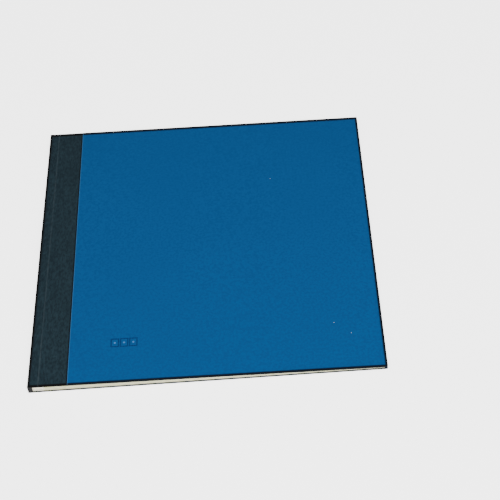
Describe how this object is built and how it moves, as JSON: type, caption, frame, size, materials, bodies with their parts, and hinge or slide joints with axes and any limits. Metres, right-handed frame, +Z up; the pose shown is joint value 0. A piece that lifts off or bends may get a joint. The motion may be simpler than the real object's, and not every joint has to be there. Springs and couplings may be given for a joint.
{
  "type": "stamp sheet album",
  "caption": "Slim hardcover album for whole stamp sheets: paper-covered boards, dark cloth spine, and card leaves with clear pockets that open like a book.",
  "frame": {"origin": "on the table plane under the middle of the back cover", "axes": "+X from the spine to the fore edge, +Y to the head, +Z up through the closed album"},
  "size_m": [0.32, 0.315, 0.0089],
  "materials": {
    "cover_paper": "leather-grained cover paper, satin blue",
    "spine_cloth": "fine book cloth, blue-black",
    "grey_board": "millboard",
    "infill_card": "thin card",
    "spine_card": "thin card and glue lining",
    "endpaper": "plain endpaper",
    "leaf_card": "smooth cream card",
    "guard_linen": "linen guard strip",
    "pocket_film": "clear glossy film"
  },
  "bodies": {
    "back_cover": {"back_board": "grey_board", "back_infill": "infill_card", "back_endpaper": "endpaper", "back_cover_paper": "cover_paper", "back_spine_cloth": "spine_cloth", "back_joint_strip": "spine_card"},
    "leaf_6": {"leaf_6_spine_cloth": "spine_cloth", "leaf_6_spine_lining": "spine_card", "leaf_6_guard": "guard_linen", "leaf_6_card": "leaf_card", "leaf_6_film_front": "pocket_film", "leaf_6_film_back": "pocket_film"},
    "leaf_5": {"leaf_5_spine_cloth": "spine_cloth", "leaf_5_spine_lining": "spine_card", "leaf_5_guard": "guard_linen", "leaf_5_card": "leaf_card", "leaf_5_film_front": "pocket_film", "leaf_5_film_back": "pocket_film"},
    "leaf_4": {"leaf_4_spine_cloth": "spine_cloth", "leaf_4_spine_lining": "spine_card", "leaf_4_guard": "guard_linen", "leaf_4_card": "leaf_card", "leaf_4_film_front": "pocket_film", "leaf_4_film_back": "pocket_film"},
    "leaf_3": {"leaf_3_spine_cloth": "spine_cloth", "leaf_3_spine_lining": "spine_card", "leaf_3_guard": "guard_linen", "leaf_3_card": "leaf_card", "leaf_3_film_front": "pocket_film", "leaf_3_film_back": "pocket_film"},
    "leaf_2": {"leaf_2_spine_cloth": "spine_cloth", "leaf_2_spine_lining": "spine_card", "leaf_2_guard": "guard_linen", "leaf_2_card": "leaf_card", "leaf_2_film_front": "pocket_film", "leaf_2_film_back": "pocket_film"},
    "leaf_1": {"leaf_1_spine_cloth": "spine_cloth", "leaf_1_spine_lining": "spine_card", "leaf_1_guard": "guard_linen", "leaf_1_card": "leaf_card", "leaf_1_film_front": "pocket_film", "leaf_1_film_back": "pocket_film", "front_joint_cloth": "spine_cloth", "front_joint_strip": "spine_card"},
    "front_cover": {"front_board": "grey_board", "front_infill": "infill_card", "front_endpaper": "endpaper", "front_cover_paper": "cover_paper", "front_spine_cloth": "spine_cloth"}
  },
  "joints": [
    {"name": "leaf_6_turn", "type": "hinge", "parent": "back_cover", "child": "leaf_6", "pos_m": [-0.16, 0, 0.0011], "axis": [0, 1, 0], "range_deg": [-25, 0]},
    {"name": "leaf_5_turn", "type": "hinge", "parent": "leaf_6", "child": "leaf_5", "pos_m": [-0.16, 0, 0.00222], "axis": [0, 1, 0], "range_deg": [-25, 0]},
    {"name": "leaf_4_turn", "type": "hinge", "parent": "leaf_5", "child": "leaf_4", "pos_m": [-0.16, 0, 0.00334], "axis": [0, 1, 0], "range_deg": [-25, 0]},
    {"name": "leaf_3_turn", "type": "hinge", "parent": "leaf_4", "child": "leaf_3", "pos_m": [-0.16, 0, 0.00446], "axis": [0, 1, 0], "range_deg": [-25, 0]},
    {"name": "leaf_2_turn", "type": "hinge", "parent": "leaf_3", "child": "leaf_2", "pos_m": [-0.16, 0, 0.00558], "axis": [0, 1, 0], "range_deg": [-25, 0]},
    {"name": "leaf_1_turn", "type": "hinge", "parent": "leaf_2", "child": "leaf_1", "pos_m": [-0.16, 0, 0.0067], "axis": [0, 1, 0], "range_deg": [-25, 0]},
    {"name": "front_cover_fold", "type": "hinge", "parent": "leaf_1", "child": "front_cover", "pos_m": [-0.15198, 0, 0.00884], "axis": [0, -1, 0], "range_deg": [0, 180]}
  ]
}
